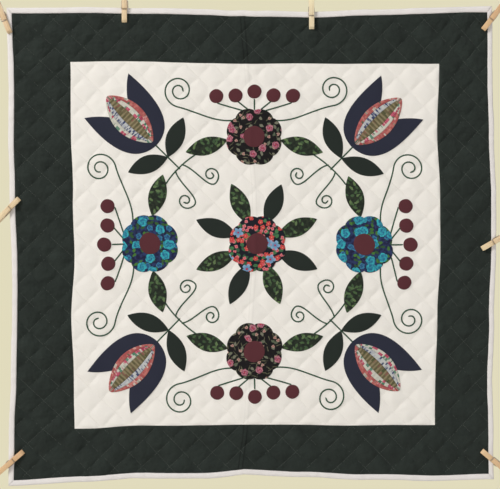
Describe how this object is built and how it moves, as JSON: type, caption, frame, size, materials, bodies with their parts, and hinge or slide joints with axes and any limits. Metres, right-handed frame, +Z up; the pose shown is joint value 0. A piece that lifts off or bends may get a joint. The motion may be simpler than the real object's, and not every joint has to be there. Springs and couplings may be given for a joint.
{
  "type": "applique wall hanging with clothes pegs",
  "caption": "Square quilted wall hanging: white crosshatched panel with a sewn-on rose medallion, dark green borders, white binding, spring clothes pegs at its edge.",
  "frame": {"origin": "middle of the hanging's top edge, in the plane of the cloth's back", "axes": "+X to the right across the hanging, +Y away from the viewer through the cloth, +Z up"},
  "size_m": [0.9381, 0.0196, 0.8893],
  "materials": {
    "panel_white": "matte cotton",
    "border_green": "matte cotton",
    "binding_white": "matte cotton",
    "leaf_green": "matte cotton",
    "rose_print": "matte cotton",
    "burgundy": "matte cotton",
    "navy": "matte cotton",
    "patchwork": "matte cotton",
    "peg_wood": "bare sanded"
  },
  "bodies": {
    "root": {"binding_bottom": "binding_white", "binding_left": "binding_white", "binding_right": "binding_white", "binding_top": "binding_white", "border_bottom": "border_green", "border_left": "border_green", "border_right": "border_green", "border_top": "border_green", "centre_leaf_1": "leaf_green", "centre_leaf_2": "leaf_green", "centre_leaf_3": "leaf_green", "centre_leaf_4": "leaf_green", "centre_leaf_5": "leaf_green", "centre_leaf_6": "leaf_green", "centre_leaf_7": "leaf_green", "centre_leaf_8": "leaf_green", "centre_panel": "panel_white", "centre_rose_heart": "burgundy", "centre_rose_petals": "rose_print", "peg_corner_bottom_left": "peg_wood", "peg_corner_bottom_right": "peg_wood", "peg_corner_top_left": "peg_wood", "peg_corner_top_right": "peg_wood", "peg_left": "peg_wood", "peg_right": "peg_wood", "peg_top_left": "peg_wood", "peg_top_right": "peg_wood", "stem_leaf_1a": "leaf_green", "stem_leaf_1b": "leaf_green", "stem_leaf_2a": "leaf_green", "stem_leaf_2b": "leaf_green", "stem_leaf_3a": "leaf_green", "stem_leaf_3b": "leaf_green", "stem_leaf_4a": "leaf_green", "stem_leaf_4b": "leaf_green", "tulip_cup_1": "patchwork", "tulip_cup_2": "patchwork", "tulip_cup_3": "patchwork", "tulip_cup_4": "patchwork", "tulip_petals_1": "navy", "tulip_petals_2": "navy", "tulip_petals_3": "navy", "tulip_petals_4": "navy", "wreath_leaf_1a": "leaf_green", "wreath_leaf_1b": "leaf_green", "wreath_leaf_2a": "leaf_green", "wreath_leaf_2b": "leaf_green", "wreath_leaf_3a": "leaf_green", "wreath_leaf_3b": "leaf_green", "wreath_leaf_4a": "leaf_green", "wreath_leaf_4b": "leaf_green", "wreath_rose_1_heart": "burgundy", "wreath_rose_1_petals": "rose_print", "wreath_rose_2_heart": "burgundy", "wreath_rose_2_petals": "rose_print", "wreath_rose_3_heart": "burgundy", "wreath_rose_3_petals": "rose_print", "wreath_rose_4_heart": "burgundy", "wreath_rose_4_petals": "rose_print"}
  },
  "joints": []
}
